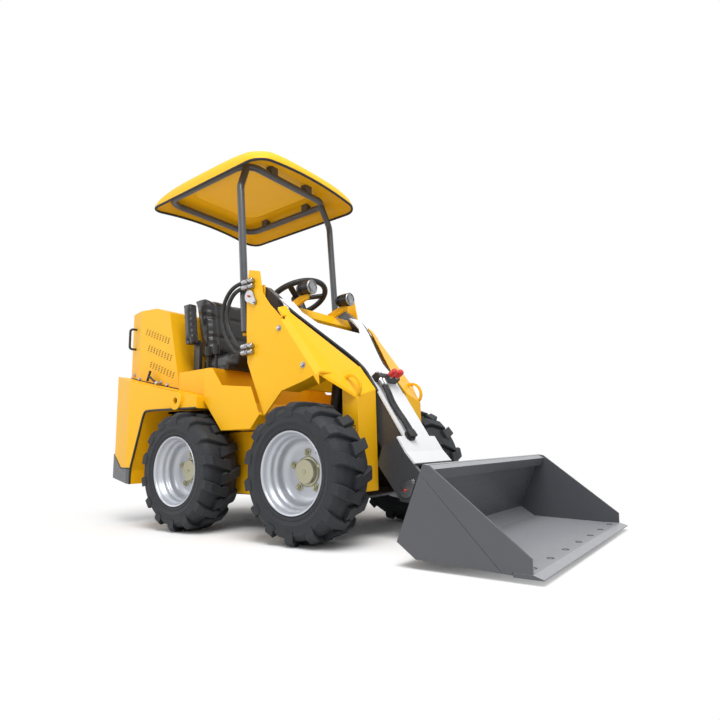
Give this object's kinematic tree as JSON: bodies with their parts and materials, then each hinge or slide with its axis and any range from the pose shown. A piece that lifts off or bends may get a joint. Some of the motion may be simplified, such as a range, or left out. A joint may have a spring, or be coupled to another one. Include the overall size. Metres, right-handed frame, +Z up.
{
  "type": "skid steer loader",
  "caption": "Compact sit-on skid steer loader with central boom, bucket, roll frame canopy, opening rear hood and lugged tyres.",
  "frame": {"origin": "on the ground under the middle of the machine's length and width, bucket included", "axes": "+X forward towards the bucket, +Y to the driver's left, +Z up"},
  "size_m": [2.639, 1.114, 1.945],
  "materials": {
    "yellow_paint": "satin yellow",
    "graphite_paint": "satin dark grey",
    "white_paint": "satin off-white",
    "grey_paint": "satin grey",
    "worn_steel": "bright",
    "black_paint": "satin black",
    "black_rubber": "matte",
    "seat_vinyl": "grained vinyl",
    "tyre_rubber": "matte",
    "rim_silver": "silver paint",
    "zinc_plate": "yellow zinc plate",
    "lamp_glass": "clear",
    "red_plastic": "glossy"
  },
  "bodies": {
    "chassis": {"belly_frame": "graphite_paint", "boom_pins": "worn_steel", "canopy": "yellow_paint", "canopy_clamps": "graphite_paint", "canopy_trim": "black_rubber", "control_levers": "black_rubber", "counterweight": "grey_paint", "dash": "yellow_paint", "engine_block": "grey_paint", "floor_pan": "yellow_paint", "front_posts": "yellow_paint", "hose_fittings": "zinc_plate", "lamp_lenses": "lamp_glass", "rear_body": "yellow_paint", "rops_frame": "graphite_paint", "seat_back": "seat_vinyl", "seat_box": "yellow_paint", "seat_cushion": "seat_vinyl", "seat_frame": "black_paint", "side_hoses": "black_rubber", "steering_column": "black_paint", "tower_left": "yellow_paint", "tower_right": "yellow_paint", "wheel_motors": "grey_paint", "work_lamps": "black_paint"},
    "wheel_front_right": {"tyre_front_right": "tyre_rubber", "rim_front_right": "rim_silver", "hub_front_right": "zinc_plate"},
    "wheel_front_left": {"tyre_front_left": "tyre_rubber", "rim_front_left": "rim_silver", "hub_front_left": "zinc_plate"},
    "wheel_rear_right": {"tyre_rear_right": "tyre_rubber", "rim_rear_right": "rim_silver", "hub_rear_right": "zinc_plate"},
    "wheel_rear_left": {"tyre_rear_left": "tyre_rubber", "rim_rear_left": "rim_silver", "hub_rear_left": "zinc_plate"},
    "hood": {"hood_shell": "yellow_paint", "hood_handles": "black_paint"},
    "steering": {"steering_wheel": "black_rubber"},
    "armrest_right": {"armrest_right": "seat_vinyl"},
    "armrest_left": {"armrest_left": "seat_vinyl"},
    "boom": {"boom": "graphite_paint", "boom_cover": "white_paint", "tilt_pin": "worn_steel", "boom_hoses": "black_rubber", "couplers": "worn_steel", "coupler_caps": "red_plastic"},
    "bucket": {"hitch": "grey_paint", "bucket_shell": "grey_paint", "bucket_sides": "grey_paint", "cutting_edge": "grey_paint"},
    "lift_barrel": {"lift_barrel": "black_paint"},
    "lift_rod": {"lift_rod": "worn_steel"},
    "tilt_barrel": {"tilt_barrel": "black_paint"},
    "tilt_rod": {"tilt_rod": "worn_steel"}
  },
  "joints": [
    {"name": "boom_lift", "type": "hinge", "parent": "chassis", "child": "boom", "pos_m": [-0.0785, 0, 1.124], "axis": [0, -1, 0], "range_deg": [0, 65]},
    {"name": "bucket_tilt", "type": "hinge", "parent": "boom", "child": "bucket", "pos_m": [0.6375, 0, 0.207], "axis": [0, 1, 0], "range_deg": [-25, 100]},
    {"name": "lift_swing", "type": "hinge", "parent": "chassis", "child": "lift_barrel", "pos_m": [0.0955, 0, 0.3], "axis": [0, -1, 0], "range_deg": [-3, 1]},
    {"name": "lift_slide", "type": "slide", "parent": "lift_barrel", "child": "lift_rod", "axis": [0.1541, 0, 0.9881], "range_m": [0, 0.41]},
    {"name": "tilt_swing", "type": "hinge", "parent": "boom", "child": "tilt_barrel", "pos_m": [0.4005, 0, 0.59], "axis": [0, 1, 0], "range_deg": [-1, 3]},
    {"name": "tilt_slide", "type": "slide", "parent": "tilt_barrel", "child": "tilt_rod", "axis": [0.6333, 0, -0.7739], "range_m": [-0.028, 0.111]},
    {"name": "hood_hinge", "type": "hinge", "parent": "chassis", "child": "hood", "pos_m": [-1.2845, 0, 0.85505], "axis": [0, -1, 0], "range_deg": [0, 60]},
    {"name": "steering_turn", "type": "hinge", "parent": "chassis", "child": "steering", "pos_m": [-0.1245, 0, 1.2], "axis": [-0.4226, 0, 0.9063], "continuous": true},
    {"name": "armrest_right_fold", "type": "hinge", "parent": "chassis", "child": "armrest_right", "pos_m": [-0.6495, -0.3, 0.985], "axis": [0, 1, 0], "range_deg": [0, 90]},
    {"name": "armrest_left_fold", "type": "hinge", "parent": "chassis", "child": "armrest_left", "pos_m": [-0.6495, 0.3, 0.985], "axis": [0, 1, 0], "range_deg": [0, 90]},
    {"name": "wheel_front_right_spin", "type": "hinge", "parent": "chassis", "child": "wheel_front_right", "pos_m": [0.2935, -0.44, 0.292], "axis": [0, 1, 0], "continuous": true},
    {"name": "wheel_front_left_spin", "type": "hinge", "parent": "chassis", "child": "wheel_front_left", "pos_m": [0.2935, 0.44, 0.292], "axis": [0, 1, 0], "continuous": true},
    {"name": "wheel_rear_right_spin", "type": "hinge", "parent": "chassis", "child": "wheel_rear_right", "pos_m": [-0.5025, -0.44, 0.292], "axis": [0, 1, 0], "continuous": true},
    {"name": "wheel_rear_left_spin", "type": "hinge", "parent": "chassis", "child": "wheel_rear_left", "pos_m": [-0.5025, 0.44, 0.292], "axis": [0, 1, 0], "continuous": true}
  ],
  "couplings": [
    {"joint": "lift_swing", "follows": "boom_lift", "ratio": -0.0378},
    {"joint": "lift_slide", "follows": "boom_lift", "m_per_rad": 0.3596},
    {"joint": "tilt_swing", "follows": "bucket_tilt", "ratio": 0.0217},
    {"joint": "tilt_slide", "follows": "bucket_tilt", "m_per_rad": 0.063}
  ]
}
